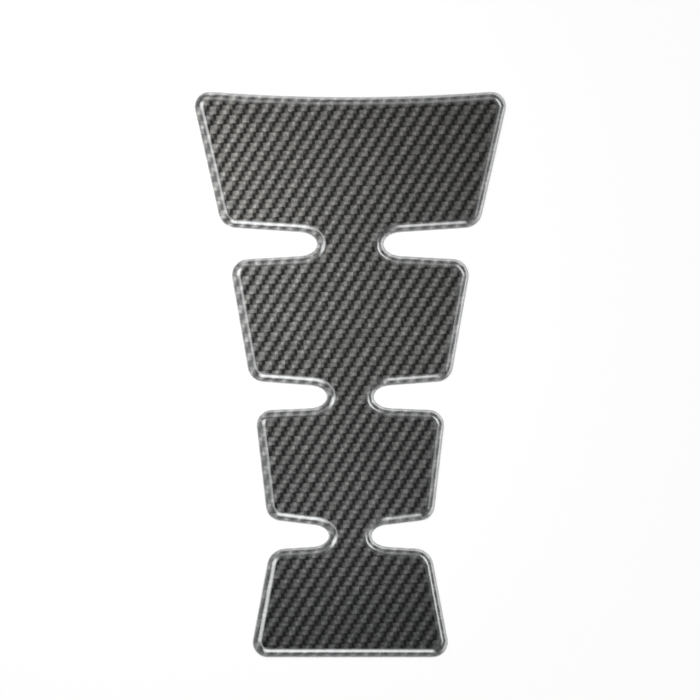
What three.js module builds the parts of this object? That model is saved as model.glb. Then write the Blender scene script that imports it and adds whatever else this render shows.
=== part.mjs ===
// Self-adhesive motorcycle tank pad with four lobes on a narrow spine, in millimetres.
// A black vinyl film carries a printed carbon-weave pattern, and clear resin is cast over both.
// The resin is held at the film's edge by its own surface tension, so its rim is a rounded meniscus.
// The pad lies on its adhesive back: +Z is out of the resin face, +Y runs to the widest lobe,
// and the origin is on the back, in the middle of the pad's bounding box.
import * as THREE from "three";

// Lobe widths, from one straight side to the other where the sides meet the cross edges.
const LOBE_1_WIDTH_ABOVE = 123.1;
const LOBE_1_WIDTH_BELOW = 99.2;
const LOBE_2_WIDTH_ABOVE = 93.6;
const LOBE_2_WIDTH_BELOW = 77.3;
const LOBE_3_WIDTH_ABOVE = 73.6;
const LOBE_3_WIDTH_BELOW = 64.0;
const LOBE_4_WIDTH_ABOVE = 61.9;
const LOBE_4_WIDTH_BELOW = 77.6;

// Length of the pad from its top corners to its bottom edge, before the corners are rounded,
// and the lengths of the lower lobes at their outer corners. The top lobe takes what is left.
const PAD_LENGTH = 218.5;
const LOBE_2_LENGTH = 46.6;
const LOBE_3_LENGTH = 41.9;
const LOBE_4_LENGTH = 41.6;

// Fillets on the lobes' outer corners.
const LOBE_1_RADIUS_ABOVE = 5.6;
const LOBE_1_RADIUS_BELOW = 7.0;
const LOBE_2_RADIUS_ABOVE = 6.3;
const LOBE_2_RADIUS_BELOW = 6.3;
const LOBE_3_RADIUS_ABOVE = 5.9;
const LOBE_3_RADIUS_BELOW = 6.0;
const LOBE_4_RADIUS_ABOVE = 7.2;
const LOBE_4_RADIUS_BELOW = 5.8;

// The top edge is hollow: its middle is this much lower than its corners.
const TOP_EDGE_HOLLOW = 2.7;

// Slots between the lobes. Their mouths are at the outer corners, and both edges lean in towards the spine.
const SLOT_1_MOUTH = 12.6;
const SLOT_2_MOUTH = 11.4;
const SLOT_3_MOUTH = 11.6;
const SLOT_1_LEAN_ABOVE = 1.9;
const SLOT_2_LEAN_ABOVE = 1.7;
const SLOT_3_LEAN_ABOVE = 2.05;
const SLOT_1_LEAN_BELOW = 1.45;
const SLOT_2_LEAN_BELOW = 0.85;
const SLOT_3_LEAN_BELOW = 0.9;
const SPINE_WIDTH_AT_SLOT_1 = 25.6;
const SPINE_WIDTH_AT_SLOT_2 = 18.0;
const SPINE_WIDTH_AT_SLOT_3 = 16.4;
const SLOT_END_LENGTH = 7.2;

// Layers, from the adhesive back upwards.
const FILM_THICKNESS = 0.25;
const PRINT_THICKNESS = 0.1;
const RESIN_THICKNESS = 1.65;
const MENISCUS_WIDTH = 3.9;

// Printed weave: a four-tow twill, so one dark diagonal runs every four tows.
const TOW_WIDTH = 1.255;
const TOW_LENGTH = 1.833;
const WEAVE_TURN = THREE.MathUtils.degToRad(2.25);
const WEAVE_SHIFT = 1.61;
const TOWS_PER_REPEAT = 4;
const PRINT_BORDER = 0.9;
const SHORTEST_DIAGONAL = 2.5;

// How finely the round stretches are divided.
const TOP_EDGE_STEPS = 14;
const FILLET_STEPS = 7;
const SLOT_END_STEPS = 12;
const MENISCUS_STEPS = 6;

const LOWER_LOBES_LENGTH = LOBE_2_LENGTH + LOBE_3_LENGTH + LOBE_4_LENGTH;
const LOBE_1_LENGTH = PAD_LENGTH - LOWER_LOBES_LENGTH - SLOT_1_MOUTH - SLOT_2_MOUTH - SLOT_3_MOUTH;
const FILM_TOP = FILM_THICKNESS;
const PRINT_TOP = FILM_TOP + PRINT_THICKNESS;

const point = (x, y) => new THREE.Vector2(x, y);

const lobes = [
  { above: LOBE_1_WIDTH_ABOVE, below: LOBE_1_WIDTH_BELOW, length: LOBE_1_LENGTH,
    radiusAbove: LOBE_1_RADIUS_ABOVE, radiusBelow: LOBE_1_RADIUS_BELOW },
  { above: LOBE_2_WIDTH_ABOVE, below: LOBE_2_WIDTH_BELOW, length: LOBE_2_LENGTH,
    radiusAbove: LOBE_2_RADIUS_ABOVE, radiusBelow: LOBE_2_RADIUS_BELOW },
  { above: LOBE_3_WIDTH_ABOVE, below: LOBE_3_WIDTH_BELOW, length: LOBE_3_LENGTH,
    radiusAbove: LOBE_3_RADIUS_ABOVE, radiusBelow: LOBE_3_RADIUS_BELOW },
  { above: LOBE_4_WIDTH_ABOVE, below: LOBE_4_WIDTH_BELOW, length: LOBE_4_LENGTH,
    radiusAbove: LOBE_4_RADIUS_ABOVE, radiusBelow: LOBE_4_RADIUS_BELOW },
];

// Slot n lies between lobe n and lobe n + 1.
const slots = [
  { mouth: SLOT_1_MOUTH, spine: SPINE_WIDTH_AT_SLOT_1, leanAbove: SLOT_1_LEAN_ABOVE, leanBelow: SLOT_1_LEAN_BELOW },
  { mouth: SLOT_2_MOUTH, spine: SPINE_WIDTH_AT_SLOT_2, leanAbove: SLOT_2_LEAN_ABOVE, leanBelow: SLOT_2_LEAN_BELOW },
  { mouth: SLOT_3_MOUTH, spine: SPINE_WIDTH_AT_SLOT_3, leanAbove: SLOT_3_LEAN_ABOVE, leanBelow: SLOT_3_LEAN_BELOW },
];

// The points of a fillet that rounds the corner between two straight edges.
function fillet(before, corner, after, radius) {
  const back = before.clone().sub(corner).normalize();
  const onward = after.clone().sub(corner).normalize();
  const halfAngle = back.angleTo(onward) / 2;
  const bisector = back.clone().add(onward).normalize();
  const centre = corner.clone().addScaledVector(bisector, radius / Math.sin(halfAngle));
  const start = corner.clone().addScaledVector(back, radius / Math.tan(halfAngle)).sub(centre);
  const turn = Math.sign(onward.cross(back)) * (Math.PI - 2 * halfAngle);
  const points = [];
  for (let step = 0; step <= FILLET_STEPS; step++) {
    points.push(start.clone().rotateAround(point(0, 0), (turn * step) / FILLET_STEPS).add(centre));
  }
  return points;
}

// The rounded inner end of a slot on the +X side: half an ellipse, from its upper edge to its lower one.
function slotEnd(upper, lower, spineHalf) {
  const middle = (upper.y + lower.y) / 2;
  const halfGap = (upper.y - lower.y) / 2;
  const reach = upper.x - spineHalf;
  const points = [];
  for (let step = 0; step <= SLOT_END_STEPS; step++) {
    const angle = (Math.PI * step) / SLOT_END_STEPS;
    points.push(point(upper.x - reach * Math.sin(angle), middle + halfGap * Math.cos(angle)));
  }
  return points;
}

// The hollow top edge on the +X side, from its middle out to where the corner fillet starts.
function topEdge(corner, filletStart) {
  const height = (x) => corner.y - TOP_EDGE_HOLLOW * (1 - (x / corner.x) ** 2);
  const points = [];
  for (let step = 0; step < TOP_EDGE_STEPS; step++) {
    const x = (filletStart.x * step) / TOP_EDGE_STEPS;
    points.push(point(x, height(x)));
  }
  return points;
}

// Half of the outline, clockwise down the +X side from the middle of the top edge.
// The bottom edge is at y = 0 here.
function halfOutline() {
  const corners = [];
  let y = PAD_LENGTH;
  lobes.forEach((lobe, n) => {
    const above = point(lobe.above / 2, y);
    const below = point(lobe.below / 2, y - lobe.length);
    corners.push({ above, below });
    y = below.y - (slots[n]?.mouth ?? 0);
  });

  // Where each slot's straight edges end and its round end begins.
  const throats = slots.map((slot, n) => {
    const x = slot.spine / 2 + SLOT_END_LENGTH;
    return {
      upper: point(x, corners[n].below.y - slot.leanAbove),
      lower: point(x, corners[n + 1].above.y + slot.leanBelow),
    };
  });

  const topCorner = corners[0].above;
  const topSlope = (2 * TOP_EDGE_HOLLOW) / topCorner.x;
  const alongTop = point(topCorner.x - 1, topCorner.y - topSlope);
  const topFillet = fillet(alongTop, topCorner, corners[0].below, lobes[0].radiusAbove);
  const points = [...topEdge(topCorner, topFillet[0]), ...topFillet];

  slots.forEach((slot, n) => {
    const { upper, lower } = throats[n];
    const next = corners[n + 1];
    points.push(...fillet(corners[n].above, corners[n].below, upper, lobes[n].radiusBelow));
    points.push(...slotEnd(upper, lower, slot.spine / 2));
    points.push(...fillet(lower, next.above, next.below, lobes[n + 1].radiusAbove));
  });

  const last = corners[corners.length - 1];
  points.push(...fillet(last.above, last.below, point(0, last.below.y), lobes[lobes.length - 1].radiusBelow));
  return points;
}

// The whole outline, counter-clockwise, with the middle of its bounding box at the origin.
function padOutline() {
  const right = halfOutline();
  const left = right.slice(1).map((p) => point(-p.x, p.y));
  const points = [...left, ...right.reverse()];
  const middle = new THREE.Box2().setFromPoints(points).getCenter(point(0, 0));
  return points.map((p) => p.clone().sub(middle));
}

// The outline moved inwards by a distance, one point for each point, with every edge kept parallel.
function inset(outline, distance) {
  return outline.map((here, n) => {
    const before = outline[(n + outline.length - 1) % outline.length];
    const after = outline[(n + 1) % outline.length];
    const arriving = here.clone().sub(before).normalize();
    const leaving = after.clone().sub(here).normalize();
    const along = arriving.clone().add(leaving).normalize();
    const mitre = distance / along.dot(leaving);
    return point(here.x - along.y * mitre, here.y + along.x * mitre);
  });
}

// A closed solid through rings of equal length, each an outline at a height, capped flat at both ends.
function loft(rings) {
  const count = rings[0].outline.length;
  const positions = rings.flatMap(({ outline, z }) => outline.flatMap((p) => [p.x, p.y, z]));
  const indices = [];
  for (let ring = 0; ring < rings.length - 1; ring++) {
    for (let n = 0; n < count; n++) {
      const low = ring * count + n;
      const lowNext = ring * count + ((n + 1) % count);
      indices.push(low, lowNext, lowNext + count, low, lowNext + count, low + count);
    }
  }
  const top = rings.length - 1;
  for (const [a, b, c] of THREE.ShapeUtils.triangulateShape(rings[0].outline, [])) {
    indices.push(a, c, b);
  }
  for (const [a, b, c] of THREE.ShapeUtils.triangulateShape(rings[top].outline, [])) {
    indices.push(top * count + a, top * count + b, top * count + c);
  }
  const geometry = new THREE.BufferGeometry();
  geometry.setAttribute("position", new THREE.Float32BufferAttribute(positions, 3));
  geometry.setIndex(indices);
  geometry.computeVertexNormals();
  return geometry;
}

// The resin: steep where it meets the film's edge, and rounding over to a flat face.
function resinGeometry(outline) {
  const rings = [];
  for (let step = 0; step <= MENISCUS_STEPS; step++) {
    const angle = ((Math.PI / 2) * step) / MENISCUS_STEPS;
    rings.push({
      outline: inset(outline, MENISCUS_WIDTH * (1 - Math.cos(angle))),
      z: PRINT_TOP + RESIN_THICKNESS * Math.sin(angle),
    });
  }
  return loft(rings);
}

// The stretches of a line that lie inside an outline, as pairs of distances along the line.
function spansInside(outline, start, direction) {
  const across = point(-direction.y, direction.x);
  const cuts = [];
  outline.forEach((a, n) => {
    const b = outline[(n + 1) % outline.length];
    const sideA = a.clone().sub(start).dot(across);
    const sideB = b.clone().sub(start).dot(across);
    if (sideA < 0 === sideB < 0) return;
    cuts.push(a.clone().lerp(b, sideA / (sideA - sideB)).sub(start).dot(direction));
  });
  cuts.sort((a, b) => a - b);
  const spans = [];
  for (let n = 0; n + 1 < cuts.length; n += 2) spans.push([cuts[n], cuts[n + 1]]);
  return spans;
}

// The stretches that two lists of spans have in common.
function commonSpans(first, second) {
  return first.flatMap(([a, b]) =>
    second.map(([c, d]) => [Math.max(a, c), Math.min(b, d)]).filter(([low, high]) => high > low));
}

// The dark diagonals of the weave, as openings in the printed field where the black film shows.
function darkDiagonals(outline) {
  const field = inset(outline, PRINT_BORDER);
  const towAngle = Math.atan2(TOW_LENGTH, TOW_WIDTH);
  const direction = point(Math.cos(towAngle + WEAVE_TURN), Math.sin(towAngle + WEAVE_TURN));
  const across = point(-direction.y, direction.x);
  const darkWidth = TOW_WIDTH * Math.sin(towAngle);
  const pitch = TOWS_PER_REPEAT * darkWidth;
  const reach = Math.max(...outline.map((p) => p.length()));
  const holes = [];
  for (let n = -Math.ceil(reach / pitch); n * pitch <= reach; n++) {
    const middle = n * pitch + WEAVE_SHIFT;
    const near = across.clone().multiplyScalar(middle - darkWidth / 2);
    const far = across.clone().multiplyScalar(middle + darkWidth / 2);
    const spans = commonSpans(spansInside(field, near, direction), spansInside(field, far, direction));
    for (const [low, high] of spans) {
      if (high - low < SHORTEST_DIAGONAL) continue;
      holes.push(new THREE.Path([
        near.clone().addScaledVector(direction, low),
        near.clone().addScaledVector(direction, high),
        far.clone().addScaledVector(direction, high),
        far.clone().addScaledVector(direction, low),
      ]));
    }
  }
  return holes;
}

function printGeometry(outline) {
  const shape = new THREE.Shape(outline);
  shape.holes = darkDiagonals(outline);
  return new THREE.ExtrudeGeometry(shape, { depth: PRINT_THICKNESS, bevelEnabled: false });
}

function filmGeometry(outline) {
  return new THREE.ExtrudeGeometry(new THREE.Shape(outline), { depth: FILM_THICKNESS, bevelEnabled: false });
}

const blackVinyl = new THREE.MeshStandardMaterial({ color: 0x17181a, roughness: 0.45, metalness: 0 });
const greyInk = new THREE.MeshStandardMaterial({ color: 0x6f706d, roughness: 0.5, metalness: 0.1 });
const clearResin = new THREE.MeshStandardMaterial({
  color: 0xe8ebec, roughness: 0.08, metalness: 0, transparent: true, opacity: 0.25,
});

function named(name, geometry, material) {
  const mesh = new THREE.Mesh(geometry, material);
  mesh.name = name;
  return mesh;
}

const outline = padOutline();

const vinylFilm = named("vinyl_film", filmGeometry(outline), blackVinyl);

const carbonPrint = named("carbon_print", printGeometry(outline), greyInk);
carbonPrint.position.z = FILM_TOP;

const resinDome = named("resin_dome", resinGeometry(outline), clearResin);

const tankPad = new THREE.Group();
tankPad.name = "tank_pad";
tankPad.add(vinylFilm, carbonPrint, resinDome);

export default tankPad;
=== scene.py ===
import math

import bmesh
import bpy
import numpy as np
from mathutils.geometry import delaunay_2d_cdt
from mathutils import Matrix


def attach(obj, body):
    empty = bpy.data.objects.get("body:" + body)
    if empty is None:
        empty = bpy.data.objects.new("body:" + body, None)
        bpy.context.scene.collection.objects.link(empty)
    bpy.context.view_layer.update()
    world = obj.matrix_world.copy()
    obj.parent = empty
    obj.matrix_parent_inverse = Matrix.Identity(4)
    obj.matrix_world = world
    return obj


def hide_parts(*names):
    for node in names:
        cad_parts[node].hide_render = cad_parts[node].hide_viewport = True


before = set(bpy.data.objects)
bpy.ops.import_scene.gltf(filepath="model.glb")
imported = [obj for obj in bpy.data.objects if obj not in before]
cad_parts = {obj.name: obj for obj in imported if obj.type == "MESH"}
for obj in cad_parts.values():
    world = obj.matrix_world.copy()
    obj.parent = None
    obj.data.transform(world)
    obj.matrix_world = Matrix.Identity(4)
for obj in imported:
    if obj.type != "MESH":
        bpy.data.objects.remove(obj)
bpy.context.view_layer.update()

MM = 0.001

# The pad's outline, with the same sizes as the CAD, in millimetres.
PAD_WIDTH = 120.0
LOBES = [
    dict(above=123.1, below=99.2, length=52.8, radius_above=5.6, radius_below=7.0),
    dict(above=93.6, below=77.3, length=46.6, radius_above=6.3, radius_below=6.3),
    dict(above=73.6, below=64.0, length=41.9, radius_above=5.9, radius_below=6.0),
    dict(above=61.9, below=77.6, length=41.6, radius_above=7.2, radius_below=5.8),
]
SLOTS = [
    dict(mouth=12.6, spine=25.6, lean_above=1.9, lean_below=1.45),
    dict(mouth=11.4, spine=18.0, lean_above=1.7, lean_below=0.85),
    dict(mouth=11.6, spine=16.4, lean_above=2.05, lean_below=0.9),
]
TOP_EDGE_HOLLOW = 2.7
SLOT_END_LENGTH = 7.2

# Layers, in millimetres. The resin reaches a little way down round the print.
FILM_TOP = 0.25
PRINT_TOP = 0.35
PRINT_INSET = 0.03
PRINT_LIFT = 0.005
PRINT_RINGS = (0.03, 0.4, 0.8, 1.2, 1.8, 2.6, 3.4, 4.2)
RESIN_THICKNESS = 1.65
RESIN_SKIRT = 0.05
MENISCUS_WIDTH = 3.9
DOME_STEPS = 22
FLAT_MARGIN = 0.25

# The printed twill, in millimetres, and where it lies on the pad, in tows.
TOW_WIDTH = 1.2552
TOW_LENGTH = 1.8330
WEAVE_TURN = math.radians(2.25)
WEAVE_SHIFT_U = 0.9275
WEAVE_SHIFT_V = -0.63
DIAGONAL_OVERLAP = 0.05
TOW_WANDER = 0.1

# Display tones across four tows of a row, by place: a dark gap, two bright tows that lie on top, and one
# that dives under. The two rows of a pair differ in where the gap lies.
UPPER_ROW_TONES = [(0.0, 50), (0.05, 34), (0.2, 33), (0.27, 92), (0.45, 116), (0.62, 146), (0.72, 136),
                   (0.78, 98), (0.96, 80), (1.0, 50)]
LOWER_ROW_TONES = [(0.0, 62), (0.05, 80), (0.22, 104), (0.3, 138), (0.42, 144), (0.54, 118), (0.72, 88),
                   (0.78, 35), (0.95, 31), (1.0, 62)]
# The pale tone of a painted glow at the very edge of the print, standing in for light the resin's cut edge
# gathers.
EDGE_GLOW_TONES = (178, 180, 180)
# Tints the colour takes towards the bottom and towards the top of the pad.
BOTTOM_TINT = (0.975, 1.0, 1.0, 1)
TOP_TINT = (1.02, 0.997, 0.962, 1)

# How strongly the resin mirrors, as an index of refraction: on the flat, on the rounded rim, and how much
# more at the very edge. Each change has its distances in from the edge, in millimetres.
FLAT_MIRROR = 1.5
RIM_MIRROR = 3.2
EDGE_MIRROR = 2.8
RIM_FADE = (3.2, 3.9)
EDGE_FADE = (0.5, 0.9)

# The stage. Depths and places are in metres, and a glow of 1 is a white page.
FLOOR_DEPTH = 0.0001
FLOOR_SIZE = 8
FLOOR_GLOW = 0.96
WALL_GLOW = 0.35
WINDOW_GLOW = 1.62
WINDOW_AZIMUTH = math.radians(42)
CEILING_GLOW = 0.20
SOFT_GLOW = 0.045
LOW_LEAN_START, LOW_LEAN_END = 0.87, 0.945
LOW_SHARE = 0.36

# The studio's lamps as the gloss shows them, on a plan of the sky: x and y are the sideways parts of the
# direction to the lamp, reach is half its size along and across the turn in degrees, and power is its glow.
LAMPS = [
    dict(name="right softbox", at=(0.35, 0.18), reach=(0.095, 0.26), turn=40, power=2.17),
    dict(name="right return", at=(0.39, -0.08), reach=(0.10, 0.11), turn=10, power=0.62),
    dict(name="left softbox", at=(-0.32, 0.10), reach=(0.17, 0.14), turn=-16, power=2.15),
    dict(name="left panel", at=(-0.58, -0.20), reach=(0.27, 0.16), turn=12, power=0.36),
    dict(name="low softbox", at=(-0.075, -0.37), reach=(0.125, 0.15), turn=4, power=2.12),
    dict(name="low bar", at=(-0.07, -0.225), reach=(0.085, 0.44), turn=29, power=0.84),
    dict(name="top strip", at=(-0.10, 0.37), reach=(0.26, 0.13), turn=0, power=0.45),
    dict(name="low right window", at=(0.74, -0.34), reach=(0.18, 0.34), turn=-24, power=0.78),
]
LAMP_COLOUR = (1.0, 0.985, 0.965)

# The photograph is square, and the pad's width in it sets the scale. The camera's height is in metres.
PHOTO_PX = 700
PAD_WIDTH_PX = 311.5
PAD_CENTRE_PX = (350.2555, 374.62)
MM_PER_PX = PAD_WIDTH / PAD_WIDTH_PX
CAMERA_HEIGHT = 2.6


# The outline

def vec(x, y):
    return np.array([x, y], float)


def unit(v):
    return v / np.linalg.norm(v)


def fillet(before, corner, after, radius, steps=14):
    """The points of an arc that rounds a corner."""
    back, onward = unit(before - corner), unit(after - corner)
    half = math.acos(np.clip(back @ onward, -1, 1)) / 2
    centre = corner + unit(back + onward) * radius / math.sin(half)
    start = corner + back * radius / math.tan(half) - centre
    turn = -np.sign(back[0] * onward[1] - back[1] * onward[0]) * (math.pi - 2 * half)
    angles = turn * np.linspace(0, 1, steps + 1)
    c, s = np.cos(angles), np.sin(angles)
    return centre + np.c_[start[0] * c - start[1] * s, start[0] * s + start[1] * c]


def slot_end(upper, lower, spine_half, steps=36):
    """Half an ellipse from a slot's upper edge, round its end at the spine, to its lower edge."""
    angle = np.linspace(0, math.pi, steps + 1)
    middle, half_gap = (upper[1] + lower[1]) / 2, (upper[1] - lower[1]) / 2
    return np.c_[upper[0] - (upper[0] - spine_half) * np.sin(angle), middle + half_gap * np.cos(angle)]


def lobe_corners():
    """The upper and lower right corner of each lobe, before they are rounded."""
    y = sum(lobe["length"] for lobe in LOBES) + sum(slot["mouth"] for slot in SLOTS)
    corners = []
    for n, lobe in enumerate(LOBES):
        corners.append((vec(lobe["above"] / 2, y), vec(lobe["below"] / 2, y - lobe["length"])))
        y -= lobe["length"] + (SLOTS[n]["mouth"] if n < len(SLOTS) else 0)
    return corners


def hollow_top(corners, steps=48):
    """The right half of the hollow top edge, and the rounded corner that ends it."""
    top = corners[0][0]
    slope = 2 * TOP_EDGE_HOLLOW / top[0]
    corner = fillet(vec(top[0] - 1, top[1] - slope), top, corners[0][1], LOBES[0]["radius_above"])
    x = np.linspace(0, corner[0][0], steps, endpoint=False)
    return [np.c_[x, top[1] - TOP_EDGE_HOLLOW * (1 - (x / top[0]) ** 2)], corner]


def pad_outline(spacing=1.0):
    """The whole outline, centred and counter-clockwise, with a point at least every spacing or so."""
    corners = lobe_corners()
    runs = hollow_top(corners)
    for n, slot in enumerate(SLOTS):
        throat = slot["spine"] / 2 + SLOT_END_LENGTH
        upper = vec(throat, corners[n][1][1] - slot["lean_above"])
        lower = vec(throat, corners[n + 1][0][1] + slot["lean_below"])
        runs.append(fillet(corners[n][0], corners[n][1], upper, LOBES[n]["radius_below"]))
        runs.append(slot_end(upper, lower, slot["spine"] / 2))
        runs.append(fillet(lower, corners[n + 1][0], corners[n + 1][1], LOBES[n + 1]["radius_above"]))
    last = corners[-1]
    runs.append(fillet(last[0], last[1], vec(0, last[1][1]), LOBES[-1]["radius_below"]))
    right = np.vstack(runs)
    left = right[1:] * [-1, 1]
    points = np.vstack([left, right[::-1]])
    points -= (points.max(0) + points.min(0)) / 2
    dense = []
    for a, b in zip(points, np.roll(points, -1, 0)):
        count = max(1, round(np.linalg.norm(b - a) / spacing))
        dense += [a + (b - a) * k / count for k in range(count)]
    return np.array(dense)


def inset(points, distance):
    """The same ring moved inwards by a distance, point by point."""
    before, after = np.roll(points, 1, 0), np.roll(points, -1, 0)
    arriving = (points - before) / np.linalg.norm(points - before, axis=1)[:, None]
    leaving = (after - points) / np.linalg.norm(after - points, axis=1)[:, None]
    along = arriving + leaving
    along /= np.linalg.norm(along, axis=1)[:, None]
    mitre = distance / (along * leaving).sum(1)
    return points + np.c_[-along[:, 1], along[:, 0]] * mitre[:, None]


# The solids

def filled(row):
    """The triangles that fill a flat ring of vertices, counter-clockwise from above."""
    flat = [v.co.xy / MM for v in row]
    count = len(flat)
    edges = [(n, (n + 1) % count) for n in range(count)]
    _, _, faces, origins, _, _ = delaunay_2d_cdt(flat, edges, [], 1, 1e-7)
    for face in faces:
        yield tuple(row[origins[n][0]] for n in face)


def loft(name, rings):
    """A closed smooth solid through (outline, z, distance in from the rim) rings, in millimetres."""
    bm = bmesh.new()
    rim = bm.verts.layers.float.new("rim")
    made = []
    for outline, z, d in rings:
        row = []
        for x, y in outline:
            v = bm.verts.new((x * MM, y * MM, z * MM))
            v[rim] = d
            row.append(v)
        made.append(row)
    count = len(made[0])
    for low, high in zip(made, made[1:]):
        for n in range(count):
            m = (n + 1) % count
            bm.faces.new((low[n], low[m], high[m], high[n])).smooth = True
    for row, upwards in ((made[0], False), (made[-1], True)):
        for a, b, c in filled(row):
            bm.faces.new((a, b, c) if upwards else (c, b, a)).smooth = True
    mesh = bpy.data.meshes.new(name)
    bm.to_mesh(mesh)
    bm.free()
    piece = bpy.data.objects.new(name, mesh)
    bpy.context.scene.collection.objects.link(piece)
    return piece


def print_rings(outline):
    """The sheet of ink, with rings all the way across the rim, so its shader knows the distance in."""
    rings = [(inset(outline, PRINT_INSET), FILM_TOP + PRINT_LIFT, 0.0)]
    return rings + [(inset(outline, d), PRINT_TOP, d) for d in PRINT_RINGS]


def dome_rings(outline):
    """The resin, with a quarter ellipse for its rounded rim and a flat face inside it."""
    rings = [(outline, PRINT_TOP - RESIN_SKIRT, 0.0)]
    for step in range(DOME_STEPS + 1):
        angle = math.pi / 2 * step / DOME_STEPS
        d = MENISCUS_WIDTH * (1 - math.cos(angle))
        rings.append((inset(outline, d), PRINT_TOP + RESIN_THICKNESS * math.sin(angle), d))
    flat = MENISCUS_WIDTH + FLAT_MARGIN
    return rings + [(inset(outline, flat), PRINT_TOP + RESIN_THICKNESS, flat)]


# Materials

class Tree:
    """Short calls for the nodes of one material or world."""

    def __init__(self, owner):
        owner.use_nodes = True
        self.tree = owner.node_tree
        self.tree.nodes.clear()

    def node(self, kind, **inputs):
        n = self.tree.nodes.new(kind)
        for key, value in inputs.items():
            self.put(n.inputs[key.replace("_", " ")], value)
        return n

    def put(self, socket, value):
        if isinstance(value, bpy.types.NodeSocket):
            self.tree.links.new(value, socket)
        else:
            socket.default_value = value

    def math(self, operation, *values):
        n = self.tree.nodes.new("ShaderNodeMath")
        n.operation = operation
        for k, value in enumerate(values):
            self.put(n.inputs[k], value)
        return n.outputs[0]

    def mix(self, factor, a, b, kind="RGBA", blend="MIX"):
        n = self.tree.nodes.new("ShaderNodeMix")
        n.data_type, n.blend_type = kind, blend
        ins = [s for s in n.inputs if s.enabled]
        self.put(ins[0], factor)
        self.put(ins[1], a)
        self.put(ins[2], b)
        return next(s for s in n.outputs if s.enabled)

    def ramp(self, factor, stops):
        n = self.tree.nodes.new("ShaderNodeValToRGB")
        elements = n.color_ramp.elements
        while len(elements) < len(stops):
            elements.new(0.5)
        for element, (position, value) in zip(elements, stops):
            element.position = position
            element.color = (*value, 1) if isinstance(value, tuple) else (value, value, value, 1)
        self.put(n.inputs[0], factor)
        return n.outputs[0]

    def noise(self, vector, scale, detail=2.0, roughness=0.5):
        return self.node("ShaderNodeTexNoise", Vector=vector, Scale=scale, Detail=detail,
                         Roughness=roughness).outputs[0]

    def attribute(self, name):
        n = self.tree.nodes.new("ShaderNodeAttribute")
        n.attribute_name = name
        return n.outputs["Fac"]

    def remap(self, value, low, high, to_low=0.0, to_high=1.0, smooth=False):
        n = self.tree.nodes.new("ShaderNodeMapRange")
        n.interpolation_type = "SMOOTHSTEP" if smooth else "LINEAR"
        for k, v in enumerate((value, low, high, to_low, to_high)):
            self.put(n.inputs[k], v)
        return n.outputs[0]

    def bump(self, height, strength, distance):
        return self.node("ShaderNodeBump", Strength=strength, Distance=distance, Height=height).outputs[0]

    def join(self, kind, first, second, **inputs):
        """The output of a node that mixes or adds two shaders."""
        n = self.node(kind, **inputs)
        shaders = [s for s in n.inputs if s.type == "SHADER"]
        self.put(shaders[0], first)
        self.put(shaders[1], second)
        return n.outputs[0]

    def finish(self, shader):
        out = self.tree.nodes.new("ShaderNodeOutputMaterial")
        self.tree.links.new(shader, out.inputs["Surface"])


def linear(tone):
    """A linear value from an 8-bit display tone."""
    tone /= 255
    return tone / 12.92 if tone <= 0.04045 else ((tone + 0.055) / 1.055) ** 2.4


def material(name, piece):
    m = bpy.data.materials.new(name)
    piece.data.materials.clear()
    piece.data.materials.append(m)
    return Tree(m)


def tow_places(t, xyz, position):
    """Where a point lies on the print, counted in tows: u across them along a row, and v row by row."""
    c, s = math.cos(WEAVE_TURN), math.sin(WEAVE_TURN)
    places = []
    for ax, ay, size, shift, scale in ((c, s, TOW_WIDTH, WEAVE_SHIFT_U, 700.0),
                                       (-s, c, TOW_LENGTH, WEAVE_SHIFT_V, 600.0)):
        a = t.math("MULTIPLY", xyz[0], ax / (size * MM))
        b = t.math("MULTIPLY_ADD", xyz[1], ay / (size * MM), shift)
        # The tows wander a little, so their edges aren't ruled lines.
        wander = t.remap(t.noise(position, scale, 1.0), 0.3, 0.7, -TOW_WANDER, TOW_WANDER)
        places.append(t.math("ADD", t.math("ADD", a, b), wander))
    return places


def twill_tone(t, u, v):
    """The ink's tone from the weave alone, and how much a row darkens towards its edges."""
    # A pair of rows repeats every four tows, and each pair is two tows on from the one below it.
    pair = t.math("FLOOR", t.math("MULTIPLY", t.math("ADD", v, 1.0), 0.5))
    twice = t.math("MULTIPLY", pair, 2.0)
    place = t.math("MULTIPLY", t.math("FLOORED_MODULO", t.math("SUBTRACT", u, twice), 4.0), 0.25)
    row = t.math("SUBTRACT", t.math("ADD", v, 1.0), twice)
    is_upper = t.remap(row, 0.84, 1.16, smooth=True)

    def row_tone(at, tones):
        return t.ramp(at, [(stop, linear(tone)) for stop, tone in tones])

    upper, lower = row_tone(place, UPPER_ROW_TONES), row_tone(place, LOWER_ROW_TONES)
    above = row_tone(t.math("FRACT", t.math("ADD", place, 0.5 + DIAGONAL_OVERLAP)), LOWER_ROW_TONES)
    below = row_tone(t.math("FRACT", t.math("ADD", place, 0.5 - DIAGONAL_OVERLAP)), UPPER_ROW_TONES)
    tone = t.mix(is_upper, lower, upper)

    # Where two rows meet, the darker of them shows, so the gaps join up into diagonals.
    from_middle = t.math("ABSOLUTE", t.math("SUBTRACT", row, 1.0))
    inner = t.remap(from_middle, 0.04, 0.34, 0.8, 0.0, smooth=True)
    outer = t.remap(from_middle, 0.68, 1.0, smooth=True)
    tone = t.mix(inner, tone, t.mix(is_upper, upper, lower), blend="DARKEN")
    tone = t.mix(outer, tone, t.mix(is_upper, below, above), blend="DARKEN")

    # Each row is a rounded tow, so it darkens towards the rows next to it.
    edge = t.math("ABSOLUTE", t.math("SUBTRACT", t.math("FRACT", row), 0.5))
    roundness = t.remap(edge, 0.25, 0.5, 1.0, 0.84, smooth=True)
    return t.mix(1.0, tone, roundness, blend="MULTIPLY"), roundness


def tow_shade(t, u, v):
    """A shade of its own for each tow that shows."""
    white = t.tree.nodes.new("ShaderNodeTexWhiteNoise")
    white.noise_dimensions = "2D"
    cell = t.node("ShaderNodeCombineXYZ", X=t.math("FLOOR", u), Y=t.math("FLOOR", v)).outputs[0]
    t.put(white.inputs["Vector"], cell)
    return t.remap(white.outputs["Value"], 0, 1, 0.8, 1.2)


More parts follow.
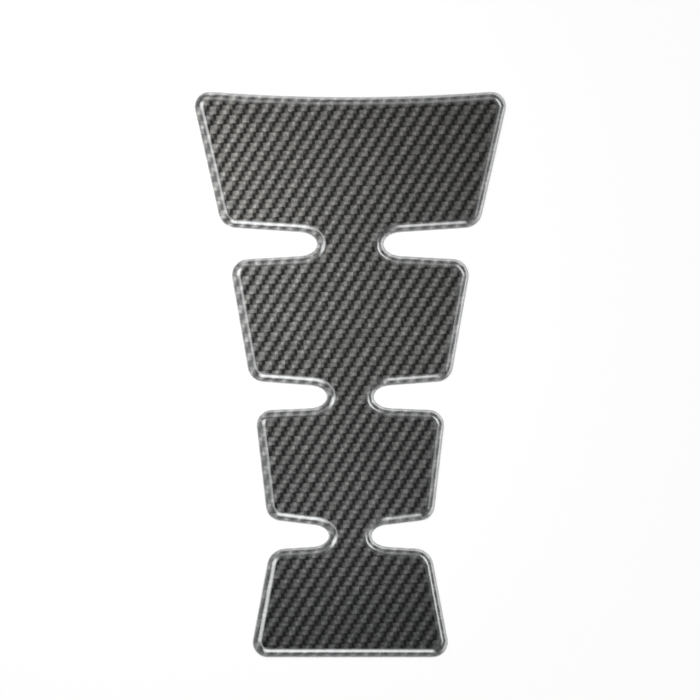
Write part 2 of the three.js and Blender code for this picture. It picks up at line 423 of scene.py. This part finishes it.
def filaments(t, u, v):
    """Fine threads that run along the tows."""
    threads = t.node("ShaderNodeCombineXYZ", X=t.math("MULTIPLY", u, 9.0), Y=t.math("MULTIPLY", v, 0.9))
    return t.remap(t.noise(threads.outputs[0], 1.0, 2.0), 0.3, 0.7, 0.8, 1.2)


def weave_material(piece):
    t = material("printed_twill", piece)
    position = t.node("ShaderNodeTexCoord").outputs["Object"]
    xyz = t.node("ShaderNodeSeparateXYZ", Vector=position).outputs
    u, v = tow_places(t, xyz, position)
    tone, roundness = twill_tone(t, u, v)
    filament = filaments(t, u, v)
    speck = t.remap(t.noise(position, 1500.0, 2.0), 0.3, 0.7, 0.7, 1.3)

    # Painted light and shade: under the rounded rim the ink is painted brighter and with more contrast,
    # standing in for the light the resin gathers there.
    rim = t.attribute("rim")
    painted_rim_contrast = t.remap(rim, 0.4, 3.4, 1.25, 1.0, smooth=True)
    painted_rim_light = t.remap(rim, 0.4, 3.4, 2.3, 1.0, smooth=True)
    tone = t.node("ShaderNodeGamma", Color=tone, Gamma=painted_rim_contrast).outputs[0]
    # Random tow, thread and speck variation, times the painted rim light.
    variation_and_rim_light = t.math("MULTIPLY", t.math("MULTIPLY", tow_shade(t, u, v), filament),
                  t.math("MULTIPLY", speck, painted_rim_light))
    tone = t.mix(1.0, tone, variation_and_rim_light, blend="MULTIPLY")

    # A painted glow: towards the very edge the ink is painted paler, standing in for the light the cut edge
    # of the resin gathers.
    painted_edge_glow = t.remap(rim, 0.2, 1.0, 0.25, 0.0, smooth=True)
    tone = t.mix(painted_edge_glow, tone, (*(linear(value) for value in EDGE_GLOW_TONES), 1))

    # The colour is tinted a little warm towards the top, in the widest lobe, and a little cool towards the
    # bottom, in the lowest.
    warmth = t.remap(xyz[1], -0.09, 0.09)
    tint = t.mix(1.0, tone, t.mix(warmth, BOTTOM_TINT, TOP_TINT), blend="MULTIPLY")

    grain = t.math("ADD", t.math("MULTIPLY", roundness, 0.6), t.math("MULTIPLY", filament, 0.4))
    ink = t.node("ShaderNodeBsdfPrincipled", Base_Color=tint, Roughness=0.6, Specular_IOR_Level=0.04,
                 Normal=t.bump(grain, 0.12, 0.0002))
    t.finish(ink.outputs[0])


def resin_material(piece):
    """Clear resin that bends nothing and mirrors the room, more strongly at its rounded rim."""
    t = material("clear_cast_resin", piece)
    position = t.node("ShaderNodeTexCoord").outputs["Object"]
    waves = t.bump(t.noise(position, 45.0, 1.0), 0.02, 0.0004)
    haze = t.remap(t.noise(position, 260.0, 2.0), 0.35, 0.75, 0.015, 0.05)
    rim = t.attribute("rim")
    strength = t.math("ADD", t.remap(rim, *RIM_FADE, RIM_MIRROR, FLAT_MIRROR, smooth=True),
                      t.remap(rim, *EDGE_FADE, EDGE_MIRROR, 0.0, smooth=True))
    mirrored = t.node("ShaderNodeFresnel", IOR=strength, Normal=waves).outputs[0]
    inside = t.node("ShaderNodeNewGeometry").outputs["Backfacing"]
    mirrored = t.math("MULTIPLY", mirrored, t.math("SUBTRACT", 1.0, inside))
    clear = t.node("ShaderNodeBsdfTransparent", Color=(0.985, 0.99, 0.99, 1))
    gloss = t.node("ShaderNodeBsdfPrincipled", Base_Color=(1, 1, 1, 1), Metallic=1.0, Roughness=haze,
                   Normal=waves)
    t.finish(t.join("ShaderNodeMixShader", clear.outputs[0], gloss.outputs[0], Fac=mirrored))


def vinyl_material(piece):
    t = material("black_vinyl_film", piece)
    position = t.node("ShaderNodeTexCoord").outputs["Object"]
    mottle = t.noise(position, 320.0, 3.0, 0.6)
    colour = t.ramp(mottle, [(0.3, (0.012, 0.012, 0.013)), (0.7, (0.026, 0.026, 0.028))])
    rough = t.remap(mottle, 0.3, 0.7, 0.34, 0.5)
    film = t.node("ShaderNodeBsdfPrincipled", Base_Color=colour, Roughness=rough,
                  Normal=t.bump(t.noise(position, 900.0, 2.0), 0.15, 0.0001))
    t.finish(film.outputs[0])


# The stage

def paper_floor():
    """White paper that glows for the camera and the gloss, and takes the object's shadow."""
    bpy.ops.mesh.primitive_plane_add(size=FLOOR_SIZE, location=(0, 0, -FLOOR_DEPTH))
    floor = bpy.context.object
    floor.name = "floor"
    t = material("white_floor", floor)
    path = t.node("ShaderNodeLightPath").outputs
    mirrored = t.math("MAXIMUM", path["Is Glossy Ray"], path["Is Transmission Ray"])
    seen = t.math("MAXIMUM", path["Is Camera Ray"], mirrored)
    paper = t.node("ShaderNodeBsdfDiffuse", Color=(0.10, 0.10, 0.10, 1))
    glow = t.node("ShaderNodeEmission", Color=(1, 1, 1, 1), Strength=t.math("MULTIPLY", seen, FLOOR_GLOW))
    lit = t.join("ShaderNodeAddShader", paper.outputs[0], glow.outputs[0])

    # From below, and from the pad's own back, the paper is glass, so the back can be looked at.
    from_below = t.node("ShaderNodeNewGeometry").outputs["Backfacing"]
    from_back = t.math("LESS_THAN", path["Ray Length"], 2.5 * FLOOR_DEPTH)
    glass = t.node("ShaderNodeBsdfTransparent")
    hidden = t.math("MAXIMUM", from_below, from_back)
    t.finish(t.join("ShaderNodeMixShader", lit, glass.outputs[0], Fac=hidden))


def lamp_glow(w, x, y, lamp):
    """A soft-edged oval of light on the plan of the sky."""
    c, s = math.cos(math.radians(lamp["turn"])), math.sin(math.radians(lamp["turn"]))
    squares = []
    for ax, ay, reach in ((c, s, lamp["reach"][0]), (-s, c, lamp["reach"][1])):
        shift = -(lamp["at"][0] * ax + lamp["at"][1] * ay) / reach
        part = w.math("MULTIPLY_ADD", x, ax / reach, w.math("MULTIPLY_ADD", y, ay / reach, shift))
        squares.append(w.math("MULTIPLY", part, part))
    total = w.math("ADD", *squares)
    fade = w.math("EXPONENT", w.math("MULTIPLY", total, w.math("MULTIPLY", total, -1.0)))
    return w.math("MULTIPLY", fade, lamp["power"])


def room_glow(w):
    """What the gloss mirrors: pale walls, a window from the right to the photograph's top, and the lamps."""
    direction = w.node("ShaderNodeTexCoord").outputs["Generated"]
    x, y, z = w.node("ShaderNodeSeparateXYZ", Vector=direction).outputs
    side = w.math("MULTIPLY", y, math.sin(WINDOW_AZIMUTH))
    side = w.math("MULTIPLY_ADD", x, math.cos(WINDOW_AZIMUTH), side)
    flatness = w.math("MULTIPLY_ADD", z, w.math("MULTIPLY", z, -1.0), 1.0)
    lean = w.math("SQRT", w.math("MAXIMUM", flatness, 0.0))
    wall = w.remap(lean, 0.45, 1.0, 0.0, 1.0)
    window = w.math("MULTIPLY", w.math("MAXIMUM", side, 0.0), w.remap(lean, 0.70, 0.92, smooth=True))
    glow = w.math("MULTIPLY_ADD", window, WINDOW_GLOW, w.math("MULTIPLY", wall, WALL_GLOW))
    for lamp in LAMPS:
        glow = w.math("ADD", glow, lamp_glow(w, x, y, lamp))

    # Low down, the room beyond the lamps is dim.
    low = w.remap(lean, LOW_LEAN_START, LOW_LEAN_END, 1.0, LOW_SHARE, smooth=True)
    return w.math("ADD", w.math("MULTIPLY", glow, low), CEILING_GLOW)


def studio_world():
    """White for the camera, the room for the gloss, and a little even light for all else."""
    world = bpy.context.scene.world or bpy.data.worlds.new("studio")
    bpy.context.scene.world = world
    world.cycles.sampling_method = "NONE"
    w = Tree(world)
    path = w.node("ShaderNodeLightPath").outputs
    strength = w.mix(path["Is Glossy Ray"], SOFT_GLOW, room_glow(w), kind="FLOAT")
    strength = w.mix(path["Is Camera Ray"], strength, 1.0, kind="FLOAT")
    background = w.node("ShaderNodeBackground", Color=(0.97, 0.99, 1, 1), Strength=strength)
    out = w.tree.nodes.new("ShaderNodeOutputWorld")
    w.tree.links.new(background.outputs[0], out.inputs["Surface"])


def near_lamp(name, place, radius, power, colour=LAMP_COLOUR):
    """A small lamp that lights the print or the back, with no mirror image in the resin."""
    lamp = bpy.data.lights.new(name, "POINT")
    lamp.shadow_soft_size = radius
    lamp.energy = power
    lamp.color = colour
    holder = bpy.data.objects.new(name, lamp)
    bpy.context.scene.collection.objects.link(holder)
    holder.location = place
    holder.visible_camera = False
    holder.visible_glossy = False


def overhead_camera():
    """A camera straight over the pad, which sees the print at the photograph's scale and place."""
    cam_data = bpy.data.cameras.new("camera")
    camera = bpy.data.objects.new("camera", cam_data)
    bpy.context.scene.collection.objects.link(camera)
    centre_x = (PHOTO_PX / 2 - PAD_CENTRE_PX[0]) * MM_PER_PX * MM
    centre_y = (PAD_CENTRE_PX[1] - PHOTO_PX / 2) * MM_PER_PX * MM
    camera.location = (centre_x, centre_y, CAMERA_HEIGHT)
    cam_data.sensor_width = 36.0
    cam_data.lens = cam_data.sensor_width * (CAMERA_HEIGHT - PRINT_TOP * MM) / (PHOTO_PX * MM_PER_PX * MM)
    cam_data.clip_start = 0.05
    bpy.context.scene.camera = camera


outline = pad_outline()

weave_print = loft("weave_print", print_rings(outline))
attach(weave_print, "root")
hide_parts("carbon_print")

clear_dome = loft("clear_dome", dome_rings(outline))
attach(clear_dome, "root")
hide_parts("resin_dome")

weave_material(weave_print)
resin_material(clear_dome)
vinyl_material(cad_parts["vinyl_film"])

paper_floor()
studio_world()
near_lamp("near_lamp", (-0.094, 0.052, 0.104), 0.02, 0.90)
near_lamp("spine_lamp", (-0.003, -0.054, 0.038), 0.01, 0.015)
near_lamp("side_lamp", (0.031, 0.016, 0.032), 0.01, 0.0072)
near_lamp("back_lamp", (-0.25, 0.2, -0.6), 0.12, 6.0, (1.0, 1.0, 1.0))
overhead_camera()
bpy.context.scene.view_settings.view_transform = "Standard"
